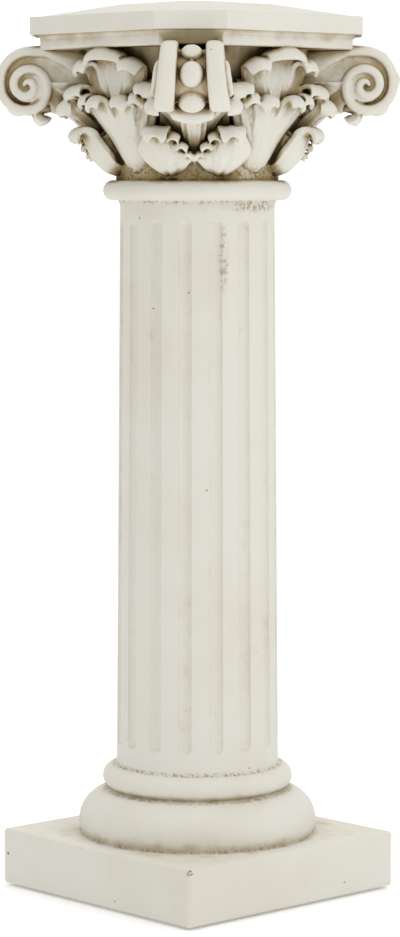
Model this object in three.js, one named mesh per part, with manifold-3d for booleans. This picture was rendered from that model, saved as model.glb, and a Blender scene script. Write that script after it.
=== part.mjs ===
// Column pedestal: a fluted column on a square plinth, under a leaf and scroll capital and an eight-sided slab.
// It is one casting, so it is one solid. Millimetres, +Z up, origin at the centre of the underside.
// The plinth's sides lie along X and Y, and the four scrolls point along the diagonals.
import * as THREE from "three";
import { mergeVertices } from "three/addons/utils/BufferGeometryUtils.js";
import Module from "manifold-3d";

const wasm = await Module();
wasm.setup();

// Colour of the off-white cast material
const CAST_COLOUR = "#dedccd";
const CAST_ROUGHNESS = 0.8;

// Heights of the joints between the forms, from the floor up
const PLINTH_TOP = 59.3;
const LOWER_ROLL_TOP = 105;
const UPPER_ROLL_TOP = 130;
const SHAFT_TOP = 704.5;
const COLLAR_TOP = 724.7;
const NECK_TOP = 733;
const FASCIA_BOTTOM = 854.7;
const SLAB_BOTTOM = 868.9;
const SLAB_TOP = 886.7;
const CROWN_TOP = 900;
const OVERLAP = 4;

// Plinth
const PLINTH_HALF_SIDE = 141.7;
const EDGE_ROUNDING = 3;
const FOOT_ROUNDING = 1;

// Round parts, as radii
const ROUND_STEPS = 32;
const LOWER_ROLL_RADIUS = 121.3;
const LOWER_ROLL_INNER_RADIUS = 88;
const LOWER_ROLL_WIDEST_HEIGHT = 72;
const UPPER_ROLL_RADIUS = 96.8;
const SHAFT_BOTTOM_RADIUS = 82.6;
const SHAFT_TOP_RADIUS = 78;
const COLLAR_RADIUS = 95.2;
const NECK_RADIUS = 82;

// Flutes
const FLUTE_COUNT = 16;
const FLUTE_FIRST_ANGLE = 15.75;
const FLUTE_BOTTOM = 152;
const FLUTE_TOP = 684.7;
const FLUTE_WIDTH = 13.8;
const FLUTE_DEPTH = 3.6;

// Bell behind the leaves: radius and height up its flare
const BELL = [[86, 765], [96, 805], [116, 858]];

// Eight-sided slab: a square with its corners cut off
const SLAB_HALF_SIDE = 142.2;
const SLAB_CORNER_DISTANCE = 165.8;
const FASCIA_INSET = 10;
const COVE_DROP = 1.5;
const CROWN_SCALE = 0.4545;

// Corner scroll, in the upright plane through the diagonal
const SCROLL_COUNT = 4;
const SCROLL_CENTRE_RADIUS = 169;
const SCROLL_CENTRE_HEIGHT = 818.4;
const SCROLL_START_RADIUS = 35.5;
const SCROLL_TOP_STRETCH = 5.3;
const SCROLL_PITCH = 13.6;
const SCROLL_BAND = 12;
const SCROLL_TURNS = 2;
const SCROLL_STEPS_PER_TURN = 9;
const SCROLL_TAIL = [[152, 846], [135, 837], [120, 824], [104, 824], [104, 859.2]];
const CHANNEL_DEPTH = 9;
const CORE_INNER_RADIUS = 80;
const CORE_FOOT_HEIGHT = 774;
const CORE_RECESS = 3;

// Stone left under the scroll, behind its leaf: outline in the scroll's plane, and half its thickness
const WEB_OUTLINE = [[80, 768], [118, 780], [146, 794], [152, 822], [80, 822]];
const WEB_HALF_WIDTH = 18;

// Sideways places of the straps' edges
const STRAP_INNER_EDGE = { top: 14, bottom: 18 };
const STRAP_OUTER_EDGE = { top: 29, bottom: 37 };

// Beads between the straps: angle round the scroll, half width, half height, depth under the strap's face
const BEADS = [
  { angle: 30, halfWidth: 10, halfHeight: 7.8, sink: 7 },
  { angle: 74, halfWidth: 12.2, halfHeight: 12, sink: 11 },
  { angle: 150, halfWidth: 14.5, halfHeight: 11.2, sink: 9 },
];

// Leaves are sets of fronds. Each frond follows a spine of points (out from the axis, sideways, up) in the
// leaf's own upright plane and ends in a curl. Widths are half widths at the root, the belly and the tip.
const FROND_CURL_STEPS = 3;
const FROND_THICKNESS = 5;

const FACE_LEAF = [
  { spine: [[84, 0, 735], [98, 0, 758], [111, 0, 787], [115, 0, 818], [117, 0, 839]], stemSteps: 4,
    curlRadius: 9, curlAngle: 190, widths: [7, 15, 19], cup: 4, facing: [1, 0, 0] },
  { spine: [[103, 12, 774], [112, 23, 808], [116, 31, 829]], stemSteps: 2,
    curlRadius: 6, curlAngle: 175, widths: [5, 7, 10], cup: 3, facing: [1, 0.35, 0], paired: true },
  { spine: [[87, 8, 741], [98, 21, 764], [107, 36, 793], [109, 46, 808]], stemSteps: 3,
    curlRadius: 5, curlAngle: 170, widths: [4, 9, 10], cup: 3, facing: [1, 0.45, 0], paired: true },
];

const LOW_LEAF = [
  { spine: [[82, 0, 731], [95, 0, 737], [107, 0, 749], [116, 0, 767]], stemSteps: 4, lobes: 0.16,
    curlRadius: 6, curlAngle: 165, widths: [17, 27, 12], cup: 6, facing: [1, 0, -0.5] },
];

const CORNER_LEAF = [
  { spine: [[81, 0, 741], [104, 0, 769], [128, 0, 788], [154, 0, 793]], stemSteps: 4,
    curlRadius: 7, curlAngle: 160, widths: [8, 16, 20], cup: 2, facing: [1, 0, -1] },
  { spine: [[98, 15, 768], [110, 25, 784], [122, 35, 803], [127, 38, 812]], stemSteps: 2,
    curlRadius: 4.5, curlAngle: 160, widths: [5, 9, 9], cup: 2, facing: [0.5, 1, -0.4], paired: true },
  { spine: [[102, 13, 764], [114, 21, 775], [130, 30, 787], [140, 33, 794]], stemSteps: 2,
    curlRadius: 4.5, curlAngle: 160, widths: [5, 9, 9], cup: 2, facing: [0.5, 0.8, -0.7], paired: true },
];

const LOW_LEAF_OFFSET = 15.5;

const radians = THREE.MathUtils.degToRad;

// Turns a closed geometry into a solid that can be joined and cut
function solidFrom(geometry) {
  const bare = geometry.index ? geometry.toNonIndexed() : geometry;
  bare.deleteAttribute("normal");
  bare.deleteAttribute("uv");
  const merged = mergeVertices(bare, 1e-3);
  const corners = merged.index.array;
  const kept = [];
  for (let i = 0; i < corners.length; i += 3) {
    const [a, b, c] = [corners[i], corners[i + 1], corners[i + 2]];
    if (a !== b && b !== c && c !== a) kept.push(a, b, c);
  }
  const mesh = new wasm.Mesh({
    numProp: 3,
    vertProperties: new Float32Array(merged.attributes.position.array),
    triVerts: new Uint32Array(kept),
  });
  return new wasm.Manifold(mesh);
}

// Turns a solid back into a geometry with flat facets
function geometryFrom(solid) {
  const mesh = solid.getMesh();
  const geometry = new THREE.BufferGeometry();
  geometry.setAttribute("position", new THREE.BufferAttribute(mesh.vertProperties, 3));
  geometry.setIndex(new THREE.BufferAttribute(mesh.triVerts, 1));
  geometry.computeVertexNormals();
  return geometry;
}

// Joins equal rings of points, in order, into a closed skin with both ends capped
function loft(rings) {
  const size = rings[0].length;
  const points = rings.flat();
  const triangles = [];
  for (let row = 0; row + 1 < rings.length; row += 1) {
    for (let i = 0; i < size; i += 1) {
      const next = (i + 1) % size;
      const [a, b] = [row * size + i, row * size + next];
      triangles.push(a, b, b + size, a, b + size, a + size);
    }
  }
  const last = (rings.length - 1) * size;
  for (let i = 1; i + 1 < size; i += 1) {
    triangles.push(0, i + 1, i, last, last + i, last + i + 1);
  }
  const geometry = new THREE.BufferGeometry().setFromPoints(points);
  geometry.setIndex(triangles);
  return geometry;
}

// Corners of a square with its own corners cut off at a distance from the centre, anticlockwise
function cutSquare(halfSide, cornerDistance, height) {
  const cut = cornerDistance * Math.SQRT2 - halfSide;
  const corners = [];
  for (let side = 0; side < 4; side += 1) {
    const turn = radians(90 * side);
    for (const [x, y] of [[halfSide, -cut], [halfSide, cut]]) {
      const across = x * Math.cos(turn) - y * Math.sin(turn);
      const along = x * Math.sin(turn) + y * Math.cos(turn);
      corners.push(new THREE.Vector3(across, along, height));
    }
  }
  return corners;
}

function plinth() {
  const ring = (inset, height) => {
    const half = PLINTH_HALF_SIDE - inset;
    return cutSquare(half, half * Math.SQRT2 - EDGE_ROUNDING / 2, height);
  };
  return solidFrom(loft([
    ring(FOOT_ROUNDING, 0),
    ring(0, FOOT_ROUNDING),
    ring(0, PLINTH_TOP - EDGE_ROUNDING),
    ring(EDGE_ROUNDING, PLINTH_TOP),
  ]));
}

// Points on a half round or quarter round, as (radius, height)
function arcPoints(radius, height, halfWidth, halfHeight, fromAngle, toAngle, steps) {
  const points = [];
  for (let i = 0; i <= steps; i += 1) {
    const angle = radians(THREE.MathUtils.lerp(fromAngle, toAngle, i / steps));
    points.push([radius + halfWidth * Math.cos(angle), height + halfHeight * Math.sin(angle)]);
  }
  return points;
}

// Base rolls, shaft, collar, neck and bell are turned from one profile
function turnedColumn() {
  const rollWidth = LOWER_ROLL_RADIUS - LOWER_ROLL_INNER_RADIUS;
  const rollHeight = LOWER_ROLL_TOP - LOWER_ROLL_WIDEST_HEIGHT;
  const upperMiddle = (LOWER_ROLL_TOP + UPPER_ROLL_TOP) / 2;
  const upperHalf = (UPPER_ROLL_TOP - LOWER_ROLL_TOP) / 2;
  const collarMiddle = (SHAFT_TOP + COLLAR_TOP) / 2;
  const collarHalf = (COLLAR_TOP - SHAFT_TOP) / 2;
  const profile = [
    [0, PLINTH_TOP - OVERLAP],
    [LOWER_ROLL_RADIUS - 1, PLINTH_TOP - OVERLAP],
    ...arcPoints(LOWER_ROLL_INNER_RADIUS, LOWER_ROLL_WIDEST_HEIGHT, rollWidth, rollHeight, 0, 72, 4),
    ...arcPoints(UPPER_ROLL_RADIUS - upperHalf, upperMiddle, upperHalf, upperHalf, -60, 90, 4),
    [SHAFT_BOTTOM_RADIUS, UPPER_ROLL_TOP],
    [SHAFT_TOP_RADIUS, SHAFT_TOP],
    ...arcPoints(COLLAR_RADIUS - collarHalf, collarMiddle, collarHalf, collarHalf, -90, 90, 4),
    [NECK_RADIUS, COLLAR_TOP],
    [NECK_RADIUS, NECK_TOP],
    ...BELL,
    [0, BELL.at(-1)[1]],
  ];
  const outline = profile.map(([radius, height]) => new THREE.Vector2(radius, height));
  return solidFrom(new THREE.LatheGeometry(outline, ROUND_STEPS).rotateX(Math.PI / 2));
}

// One flute's cutter: a long capsule, flattened towards the axis, lying along the tapered shaft
function fluteCutter(angle) {
  const capsule = new THREE.CapsuleGeometry(FLUTE_WIDTH / 2, FLUTE_TOP - FLUTE_BOTTOM - FLUTE_WIDTH, 1, 8, 1);
  const middle = (FLUTE_TOP + FLUTE_BOTTOM) / 2;
  const lean = Math.atan2(SHAFT_BOTTOM_RADIUS - SHAFT_TOP_RADIUS, SHAFT_TOP - UPPER_ROLL_TOP);
  const share = (middle - UPPER_ROLL_TOP) / (SHAFT_TOP - UPPER_ROLL_TOP);
  capsule.scale(2 * FLUTE_DEPTH / FLUTE_WIDTH, 1, 1);
  capsule.rotateX(Math.PI / 2);
  capsule.rotateY(-lean);
  capsule.translate(THREE.MathUtils.lerp(SHAFT_BOTTOM_RADIUS, SHAFT_TOP_RADIUS, share), 0, middle);
  capsule.rotateZ(radians(angle));
  return solidFrom(capsule);
}

// Fascia, slab with rounded edges, and the low hipped crown with its flat middle
function topSlab() {
  const ring = (inset, height) =>
    cutSquare(SLAB_HALF_SIDE - inset, SLAB_CORNER_DISTANCE - inset, height);
  return solidFrom(loft([
    ring(FASCIA_INSET, FASCIA_BOTTOM),
    ring(FASCIA_INSET, SLAB_BOTTOM - COVE_DROP),
    ring(EDGE_ROUNDING, SLAB_BOTTOM),
    ring(0, SLAB_BOTTOM + EDGE_ROUNDING),
    ring(0, SLAB_TOP - EDGE_ROUNDING / 2),
    ring(EDGE_ROUNDING / 2, SLAB_TOP),
    cutSquare(SLAB_HALF_SIDE * CROWN_SCALE, SLAB_CORNER_DISTANCE * CROWN_SCALE, CROWN_TOP),
  ]));
}

// Distance of the scroll's outer face from its eye, at an angle from the top, turning outwards
function scrollRadius(angle) {
  const stretch = angle < 90 ? SCROLL_TOP_STRETCH * Math.cos(radians(angle)) ** 2 : 0;
  return SCROLL_START_RADIUS - SCROLL_PITCH * angle / 360 + stretch;
}

function scrollPoint(angle, sink) {
  const distance = Math.max(scrollRadius(angle) - sink, 0.5);
  return new THREE.Vector2(
    SCROLL_CENTRE_RADIUS + distance * Math.sin(radians(angle)),
    SCROLL_CENTRE_HEIGHT + distance * Math.cos(radians(angle)),
  );
}

// Straps stand further apart towards the scroll's foot
function spread(edge, height) {
  const top = SCROLL_CENTRE_HEIGHT + SCROLL_START_RADIUS + SCROLL_TOP_STRETCH;
  const bottom = SCROLL_CENTRE_HEIGHT - SCROLL_START_RADIUS + SCROLL_PITCH / 2;
  return THREE.MathUtils.mapLinear(height, top, bottom, edge.top, edge.bottom);
}

// Extrudes an outline in the scroll's plane between two sideways places, each a function of the height
function sideways(outline, from, to) {
  const geometry = new THREE.ExtrudeGeometry(new THREE.Shape(outline), { depth: 1, bevelEnabled: false });
  const place = geometry.attributes.position;
  for (let i = 0; i < place.count; i += 1) {
    const height = place.getY(i);
    const side = THREE.MathUtils.lerp(from(height), to(height), place.getZ(i));
    place.setXYZ(i, place.getX(i), -side, height);
  }
  return solidFrom(geometry);
}

// One strap that winds into the spiral on its side of the scroll
function strap() {
  const angles = [];
  const count = SCROLL_TURNS * SCROLL_STEPS_PER_TURN;
  for (let i = 0; i <= count; i += 1) angles.push(i * 360 / SCROLL_STEPS_PER_TURN);
  const outer = angles.map((angle) => scrollPoint(angle, 0));
  const inner = angles.map((angle) => scrollPoint(angle, SCROLL_BAND));
  const tail = SCROLL_TAIL.map(([radius, height]) => new THREE.Vector2(radius, height));
  const outline = [...outer.reverse(), ...tail.reverse(), ...inner];
  return sideways(
    outline,
    (height) => spread(STRAP_INNER_EDGE, height),
    (height) => spread(STRAP_OUTER_EDGE, height),
  );
}

// Body of the scroll between and behind the straps, back to the bell
function scrollCore() {
  const outline = [];
  for (let angle = 270; angle >= 0; angle -= 30) outline.push(scrollPoint(angle, CHANNEL_DEPTH));
  outline.push(new THREE.Vector2(CORE_INNER_RADIUS, SCROLL_CENTRE_HEIGHT + SCROLL_START_RADIUS));
  outline.push(new THREE.Vector2(CORE_INNER_RADIUS, CORE_FOOT_HEIGHT));
  const edge = (height) => spread(STRAP_OUTER_EDGE, height) - CORE_RECESS;
  return sideways(outline, (height) => -edge(height), edge);
}

function scrollWeb() {
  const outline = WEB_OUTLINE.map(([radius, height]) => new THREE.Vector2(radius, height));
  return sideways(outline, () => -WEB_HALF_WIDTH, () => WEB_HALF_WIDTH);
}

function bead({ angle, halfWidth, halfHeight, sink }) {
  const place = scrollPoint(angle, sink);
  const ball = new THREE.SphereGeometry(1, 8, 5).rotateX(Math.PI / 2);
  ball.scale(halfHeight, halfWidth, halfHeight);
  ball.translate(place.x, 0, place.y);
  return solidFrom(ball);
}

// Half width of a frond: root to belly on the stem, belly to tip along the curl
function frondWidth([root, belly, tip], share) {
  if (share < 0.5) return THREE.MathUtils.lerp(root, belly, share * 2);
  return THREE.MathUtils.lerp(belly, tip, Math.sin((share - 0.5) * Math.PI));
}

// One frond: a gutter-shaped blade along its spine, rolled over at the tip
function frond({ spine, stemSteps, lobes = 0, curlRadius, curlAngle, widths, cup, facing }, mirrored) {
  const flip = mirrored ? -1 : 1;
  const curve = new THREE.CatmullRomCurve3(spine.map(([out, side, up]) => new THREE.Vector3(out, side * flip, up)));
  const hint = new THREE.Vector3(facing[0], facing[1] * flip, facing[2]).normalize();
  const rings = [];
  for (let i = 0; i <= stemSteps; i += 1) {
    const share = i / stemSteps;
    const along = curve.getTangentAt(share);
    const front = hint.clone().addScaledVector(along, -hint.dot(along)).normalize();
    const width = frondWidth(widths, share * 0.75) * (1 + lobes * (-1) ** i);
    pushRing(rings, curve.getPointAt(share), along, front, width, cup);
  }
  const end = curve.getPointAt(1);
  const along = curve.getTangentAt(1);
  const front = hint.clone().addScaledVector(along, -hint.dot(along)).normalize();
  for (let i = 1; i <= FROND_CURL_STEPS; i += 1) {
    const share = i / FROND_CURL_STEPS;
    const angle = radians(curlAngle * share);
    const centre = end.clone()
      .addScaledVector(along, curlRadius * Math.sin(angle))
      .addScaledVector(front, curlRadius * (1 - Math.cos(angle)));
    const turned = along.clone().multiplyScalar(Math.cos(angle)).addScaledVector(front, Math.sin(angle));
    const facingNow = front.clone().multiplyScalar(Math.cos(angle)).addScaledVector(along, -Math.sin(angle));
    const width = frondWidth(widths, 0.75 + share / 4) * Math.sqrt(1 - 0.75 * share * share);
    pushRing(rings, centre, turned, facingNow, width, cup);
  }
  return solidFrom(loft(rings));
}

// Adds one four-sided section: two edges brought forward by the cup, the midrib, and the back
function pushRing(rings, centre, along, front, halfWidth, cup) {
  const side = along.clone().cross(front).normalize();
  const at = (across, forward) =>
    centre.clone().addScaledVector(side, across * halfWidth).addScaledVector(front, forward);
  rings.push([at(0, -cup / 2), at(1, cup / 2), at(0, -FROND_THICKNESS), at(-1, cup / 2)]);
}

function leaf(fronds, angle) {
  const turn = new THREE.Matrix4().makeRotationZ(radians(angle));
  const parts = [];
  for (const shape of fronds) {
    parts.push(frond(shape, false));
    if (shape.paired) parts.push(frond(shape, true));
  }
  return parts.map((part) => part.transform(turn.toArray()));
}

function capital() {
  const parts = [topSlab()];
  for (let i = 0; i < SCROLL_COUNT; i += 1) {
    const corner = 45 + i * 360 / SCROLL_COUNT;
    const turn = new THREE.Matrix4().makeRotationZ(radians(corner)).toArray();
    const mirror = new THREE.Matrix4().makeScale(1, -1, 1).toArray();
    const pieces = [scrollCore(), scrollWeb(), strap(), strap().transform(mirror), ...BEADS.map(bead)];
    parts.push(...pieces.map((piece) => piece.transform(turn)));
    parts.push(...leaf(CORNER_LEAF, corner));
    parts.push(...leaf(FACE_LEAF, corner + 45));
    parts.push(...leaf(LOW_LEAF, corner - LOW_LEAF_OFFSET));
    parts.push(...leaf(LOW_LEAF, corner + LOW_LEAF_OFFSET));
  }
  return parts;
}

let solid = turnedColumn();
for (let i = 0; i < FLUTE_COUNT; i += 1) {
  solid = solid.subtract(fluteCutter(FLUTE_FIRST_ANGLE + i * 360 / FLUTE_COUNT));
}
solid = solid.add(plinth());
for (const part of capital()) solid = solid.add(part);

const material = new THREE.MeshStandardMaterial({ color: CAST_COLOUR, roughness: CAST_ROUGHNESS, metalness: 0 });
const pedestal = new THREE.Mesh(geometryFrom(solid), material);
pedestal.name = "pedestal";

const group = new THREE.Group();
group.add(pedestal);

export default group;
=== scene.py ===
"""Looks of the column pedestal: one off-white casting, its studio and its camera. Lengths are in metres."""

from __future__ import annotations

import logging
import math
from contextlib import contextmanager
from dataclasses import dataclass, field
from enum import Enum
from typing import Callable, Iterator, Sequence

import bpy
import numpy as np
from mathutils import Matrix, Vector
from mathutils.bvhtree import BVHTree


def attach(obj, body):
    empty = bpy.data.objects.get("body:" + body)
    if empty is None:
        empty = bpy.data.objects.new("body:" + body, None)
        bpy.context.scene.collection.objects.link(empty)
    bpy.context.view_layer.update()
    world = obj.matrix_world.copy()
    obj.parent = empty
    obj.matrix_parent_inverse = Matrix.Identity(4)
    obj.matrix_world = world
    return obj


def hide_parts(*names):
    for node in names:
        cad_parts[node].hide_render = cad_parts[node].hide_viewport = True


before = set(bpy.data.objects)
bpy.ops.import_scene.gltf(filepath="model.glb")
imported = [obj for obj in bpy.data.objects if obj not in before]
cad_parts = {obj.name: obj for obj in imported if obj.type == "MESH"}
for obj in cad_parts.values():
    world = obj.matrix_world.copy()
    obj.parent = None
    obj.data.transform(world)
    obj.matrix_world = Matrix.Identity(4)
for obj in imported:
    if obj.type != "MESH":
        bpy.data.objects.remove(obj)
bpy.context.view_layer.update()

LOG = logging.getLogger("pedestal")

CORNERS = 4
CORNER_ANGLE = 45.0
QUARTER = 90.0


class Bench:
    """Blender's own operators, as the hand tools that add and shape the meshes."""

    SEAM_GAP = 1e-7
    SPIN_GAP = 1e-6

    @staticmethod
    def clear() -> None:
        """Deselects every object, so that the next operator acts on one piece alone."""
        if bpy.context.object is not None and bpy.context.object.mode != "OBJECT":
            bpy.ops.object.mode_set(mode="OBJECT")
        bpy.ops.object.select_all(action="DESELECT")

    @staticmethod
    def pick(piece: bpy.types.Object) -> None:
        """Selects one piece and makes it active.

        Args:
            piece: The object that the next operator shapes.
        """
        Bench.clear()
        piece.select_set(True)
        bpy.context.view_layer.objects.active = piece

    @staticmethod
    def add(name: str, operator: Callable[..., object], **settings: object) -> bpy.types.Object:
        """Adds one object with nothing else selected.

        Args:
            name: The new object's name.
            operator: The operator that adds it.
            **settings: The operator's settings.

        Returns:
            The new object.
        """
        Bench.clear()
        operator(**settings)
        piece = bpy.context.object
        piece.name = name
        return piece

    @staticmethod
    @contextmanager
    def editing() -> Iterator[None]:
        """Opens edit mode on the active piece with all of it selected, and closes it afterwards."""
        bpy.ops.object.mode_set(mode="EDIT")
        bpy.ops.mesh.select_all(action="SELECT")
        yield
        bpy.ops.object.mode_set(mode="OBJECT")

    @staticmethod
    def face_outwards() -> None:
        """Turns the active piece's faces outwards."""
        with Bench.editing():
            bpy.ops.mesh.normals_make_consistent(inside=False)

    @staticmethod
    def place_points(piece: bpy.types.Object, points: np.ndarray) -> None:
        """Moves every vertex of a piece to its own row of three coordinates."""
        piece.data.vertices.foreach_set("co", np.asarray(points, np.float32).reshape(-1))
        piece.data.update()

    @staticmethod
    def points(piece: bpy.types.Object) -> np.ndarray:
        """Reads a piece's vertices.

        Args:
            piece: The object to read.

        Returns:
            One row of three coordinates for each vertex.
        """
        flat = np.zeros(len(piece.data.vertices) * 3, np.float32)
        piece.data.vertices.foreach_get("co", flat)
        return flat.reshape(-1, 3).astype(float)

    @staticmethod
    def sheet(name: str, rows: np.ndarray) -> bpy.types.Object:
        """Adds a grid and lays it over rows of points.

        Args:
            name: The new object's name.
            rows: Points as rows by columns by three.

        Returns:
            The open sheet.
        """
        count, size = rows.shape[:2]
        piece = Bench.add(name, bpy.ops.mesh.primitive_grid_add,
                          x_subdivisions=size - 1, y_subdivisions=count - 1, size=1)
        Bench.place_points(piece, rows)
        return piece

    @staticmethod
    def tube(name: str, rows: np.ndarray) -> bpy.types.Object:
        """Lays a grid over closed rings of points, sews its seam and fills both ends.

        Args:
            name: The new object's name.
            rows: Rings by points by three; each ring's last point repeats its first.

        Returns:
            The closed solid.
        """
        piece = Bench.sheet(name, rows)
        with Bench.editing():
            bpy.ops.mesh.remove_doubles(threshold=Bench.SEAM_GAP)
        with Bench.editing():
            bpy.ops.mesh.fill_holes(sides=0)
        Bench.face_outwards()
        return piece

    @staticmethod
    def stack(name: str, rings: Sequence[np.ndarray]) -> bpy.types.Object:
        """Builds a solid of level rings, each extruded from the one below.

        Args:
            name: The new object's name.
            rings: Rings of equal size, from the lowest up.

        Returns:
            The closed solid.
        """
        piece = Bench.add(name, bpy.ops.mesh.primitive_circle_add,
                          vertices=len(rings[0]), radius=1, fill_type="NGON")
        Bench.place_points(piece, rings[0])
        with Bench.editing():
            for lower, upper in zip(rings, rings[1:]):
                rise = float(upper[0][2] - lower[0][2])
                bpy.ops.mesh.extrude_region_move(TRANSFORM_OT_translate={"value": (0, 0, rise)})
        Bench.place_points(piece, np.concatenate(rings))
        Bench.face_outwards()
        return piece

    @staticmethod
    def plate(name: str, outline: np.ndarray, half_width: np.ndarray) -> bpy.types.Object:
        """Builds an upright plate in the plane of X and Z, as wide to one side as to the other.

        Args:
            name: The new object's name.
            outline: Points as (out, up).
            half_width: Half the plate's width at each outline point.

        Returns:
            The closed plate.
        """
        sides = [np.stack([outline[:, 0], place, outline[:, 1]], axis=1)
                 for place in (-half_width, half_width)]
        piece = Bench.stack(name, [side[:, [0, 2, 1]] for side in sides])
        Bench.place_points(piece, np.concatenate(sides))
        with Bench.editing():
            bpy.ops.mesh.quads_convert_to_tris(quad_method="BEAUTY", ngon_method="BEAUTY")
        Bench.face_outwards()
        return piece

    @staticmethod
    def turned(name: str, profile: Sequence[tuple[float, float]], steps: int) -> bpy.types.Object:
        """Spins a profile round the column's axis.

        Args:
            name: The new object's name.
            profile: Points as (radius, height), from the axis back to the axis.
            steps: Steps in the full turn.

        Returns:
            The closed turned solid.
        """
        piece = Bench.add(name, bpy.ops.mesh.primitive_circle_add,
                          vertices=len(profile), radius=1, fill_type="NOTHING")
        Bench.place_points(piece, np.array([(radius, 0.0, height) for radius, height in profile]))
        ends = {0, len(profile) - 1}
        for vertex in piece.data.vertices:
            vertex.select = vertex.index in ends
        for edge in piece.data.edges:
            edge.select = set(edge.vertices) == ends
        bpy.ops.object.mode_set(mode="EDIT")
        bpy.ops.mesh.select_mode(type="EDGE")
        bpy.ops.mesh.delete(type="EDGE")
        bpy.ops.mesh.select_mode(type="VERT")
        bpy.ops.object.mode_set(mode="OBJECT")
        with Bench.editing():
            bpy.ops.mesh.spin(steps=steps, angle=math.tau, center=(0, 0, 0), axis=(0, 0, 1))
        with Bench.editing():
            bpy.ops.mesh.remove_doubles(threshold=Bench.SPIN_GAP)
        Bench.face_outwards()
        return piece

    @staticmethod
    def apply(piece: bpy.types.Object, kind: str, **settings: object) -> None:
        """Adds one modifier, sets it and applies it.

        Args:
            piece: The object to change.
            kind: The modifier's type.
            **settings: The modifier's own settings.
        """
        Bench.pick(piece)
        modifier = piece.modifiers.new(kind.lower(), kind)
        for key, value in settings.items():
            setattr(modifier, key, value)
        bpy.ops.object.modifier_apply(modifier=modifier.name)

    @staticmethod
    def unite(piece: bpy.types.Object, part: bpy.types.Object) -> None:
        """Unites a part with a piece, and removes the part."""
        Bench.apply(piece, "BOOLEAN", operation="UNION", object=part, solver="MANIFOLD")
        bpy.data.objects.remove(part)

    @staticmethod
    def turned_copy(piece: bpy.types.Object, angle: float, mirrored: bool = False) -> bpy.types.Object:
        """Copies a piece, with a mesh of its own, turned about the column's axis.

        Args:
            piece: The object to copy.
            angle: The turn in degrees.
            mirrored: Whether the copy is first flipped sideways, across the plane of X and Z.

        Returns:
            The copy.
        """
        Bench.pick(piece)
        bpy.ops.object.duplicate()
        copy = bpy.context.object
        out, side, up = Bench.points(copy).T
        if mirrored:
            side = -side
        cosine, sine = math.cos(math.radians(angle)), math.sin(math.radians(angle))
        turned = (out * cosine - side * sine, out * sine + side * cosine, up)
        Bench.place_points(copy, np.stack(turned, axis=1))
        if mirrored:
            with Bench.editing():
                bpy.ops.mesh.flip_normals()
        return copy

    @staticmethod
    def join(name: str, pieces: Sequence[bpy.types.Object]) -> bpy.types.Object:
        """Joins pieces into one object.

        Args:
            name: The joined object's name.
            pieces: The objects to join.

        Returns:
            The joined object.
        """
        Bench.pick(pieces[0])
        for piece in pieces[1:]:
            piece.select_set(True)
        bpy.ops.object.join()
        joined = bpy.context.object
        joined.name = name
        joined.data.name = name
        return joined


def arc(centre: tuple[float, float], reach: tuple[float, float],
        span: tuple[float, float, int]) -> list[tuple[float, float]]:
    """Points on an elliptical arc of a turned profile.

    Args:
        centre: The arc's centre as (radius, height).
        reach: The ellipse's reach outwards and upwards.
        span: First and last angle in degrees from straight out, and the steps between them.

    Returns:
        Points as (radius, height).
    """
    start, end, steps = span
    angles = np.radians(np.linspace(start, end, steps + 1))
    return [(centre[0] + reach[0] * math.cos(a), centre[1] + reach[1] * math.sin(a)) for a in angles]


def smooth_step(low: float, high: float, value: np.ndarray | float) -> np.ndarray:
    """Rises smoothly from 0 at low to 1 at high, for a number or an array of numbers."""
    share = np.clip((value - low) / (high - low), 0, 1)
    return share * share * (3 - 2 * share)


def cut_square(half_side: float, corner_distance: float, height: float) -> np.ndarray:
    """Corners of a square whose own corners are cut off straight.

    Args:
        half_side: Distance of the long sides from the axis.
        corner_distance: Distance of the cut corners' faces from the axis.
        height: Height of the ring.

    Returns:
        Eight points, anticlockwise.
    """
    cut = corner_distance * math.sqrt(2) - half_side
    corners = []
    for side in range(CORNERS):
        cosine, sine = math.cos(math.radians(QUARTER * side)), math.sin(math.radians(QUARTER * side))
        for y in (-cut, cut):
            corners.append((half_side * cosine - y * sine, half_side * sine + y * cosine, height))
    return np.array(corners)


def unit(vector: np.ndarray) -> np.ndarray:
    """Scales a vector to length 1."""
    return vector / np.linalg.norm(vector)


def spline(points: np.ndarray, count: int, fineness: int = 24) -> tuple[np.ndarray, np.ndarray]:
    """Runs an even smooth curve through points.

    Args:
        points: Points to pass through.
        count: How many places to return.
        fineness: Steps in which each stretch between two points is measured.

    Returns:
        Places evenly spaced along the curve, and the unit directions there.
    """
    padded = np.vstack([2 * points[0] - points[1], points, 2 * points[-1] - points[-2]])
    dense = []
    for before, start, end, after in zip(padded, padded[1:], padded[2:], padded[3:]):
        for t in np.linspace(0, 1, fineness, endpoint=False):
            dense.append(0.5 * (2 * start + (end - before) * t
                                + (2 * before - 5 * start + 4 * end - after) * t ** 2
                                + (3 * start - before - 3 * end + after) * t ** 3))
    dense = np.vstack([dense, points[-1]])
    length = np.concatenate([[0], np.cumsum(np.linalg.norm(np.diff(dense, axis=0), axis=1))])
    even = np.linspace(0, length[-1], count)
    places = np.stack([np.interp(even, length, dense[:, axis]) for axis in range(3)], axis=1)
    ways = np.gradient(places, axis=0)
    return places, ways / np.linalg.norm(ways, axis=1)[:, None]


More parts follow.
